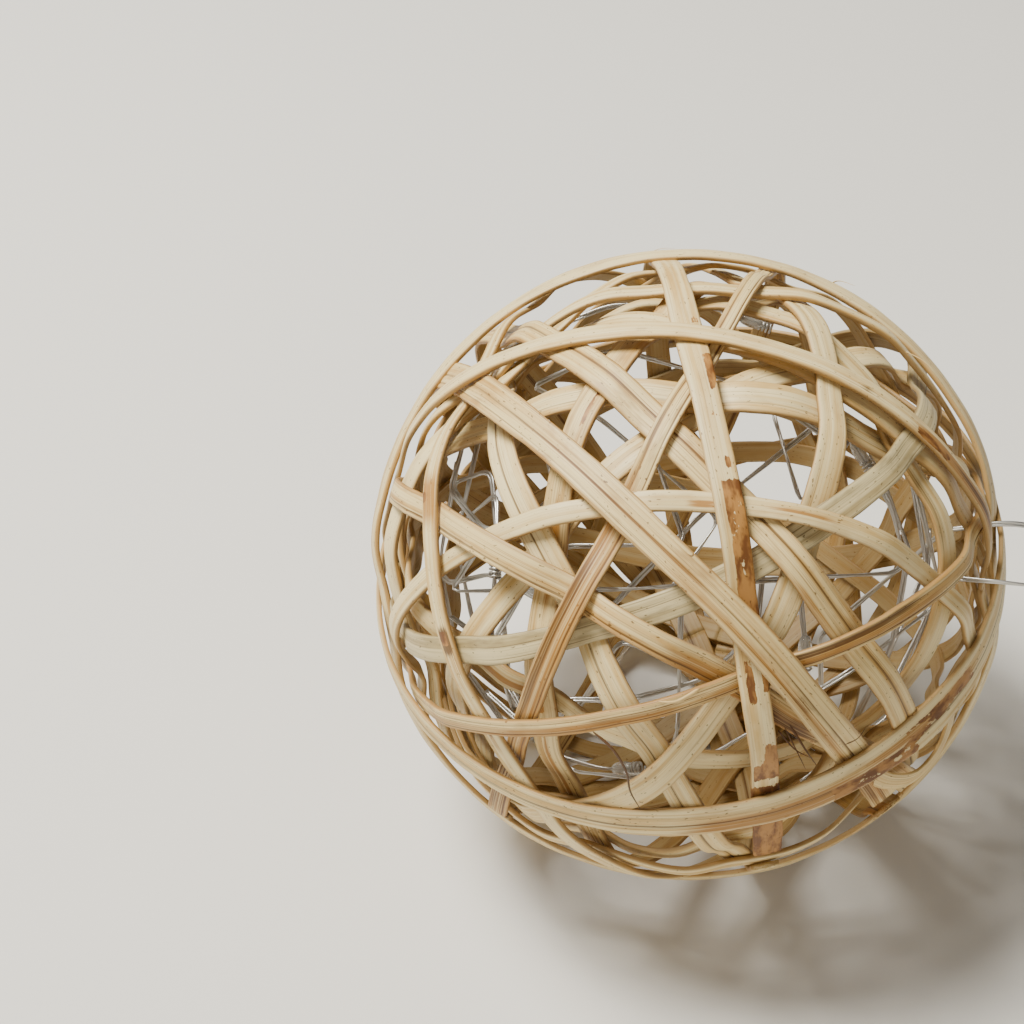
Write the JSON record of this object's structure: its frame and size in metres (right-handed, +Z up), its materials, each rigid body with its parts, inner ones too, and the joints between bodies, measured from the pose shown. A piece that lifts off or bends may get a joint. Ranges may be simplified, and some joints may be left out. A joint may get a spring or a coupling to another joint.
{
  "type": "decorative sphere",
  "caption": "Open decorative ball wound from flat split-rattan strips, with a thin wire light string tangled inside and a small flat spot to stand on.",
  "frame": {"origin": "middle of the small flat spot underneath, on the surface the ball stands on", "axes": "+Z up through the ball's centre, +X to the side where the light string's loop stands out, -Y to the side the ball is mostly seen from"},
  "size_m": [0.1234, 0.1096, 0.1079],
  "materials": {
    "rattan_pale": "pale split rattan, dry satin",
    "rattan_honey": "honey split rattan with brown grain lines",
    "rattan_bark": "split rattan with patches of its orange-brown bark left on",
    "rattan_grey": "greyed split rattan, dull",
    "silver_wire": "bright silvered wire"
  },
  "bodies": {
    "root": {"skirt_strip": "rattan_pale", "crown_strip": "rattan_pale", "upper_arc_strip": "rattan_pale", "long_diagonal_strip": "rattan_honey", "bark_strip": "rattan_bark", "dark_seam_strip": "rattan_bark", "knotted_strip": "rattan_pale", "ribbed_strip": "rattan_bark", "left_diagonal_strip": "rattan_honey", "middle_arc_strip": "rattan_pale", "crown_band_strip": "rattan_pale", "broad_diagonal_strip": "rattan_honey", "grey_strip": "rattan_grey", "left_limb_strip": "rattan_pale", "base_band_strip": "rattan_pale", "base_cross_strip": "rattan_honey", "back_shoulder_strip": "rattan_pale", "right_upright_strip": "rattan_pale", "back_upright_strip": "rattan_pale", "light_strip": "rattan_pale", "lower_band_strip": "rattan_honey", "streaked_strip": "rattan_honey", "right_limb_strip": "rattan_pale", "broad_crown_strip": "rattan_pale", "inner_diagonal_strip": "rattan_pale", "inner_slanting_strip": "rattan_pale", "light_string": "silver_wire", "light_string_loop": "silver_wire"}
  },
  "joints": []
}
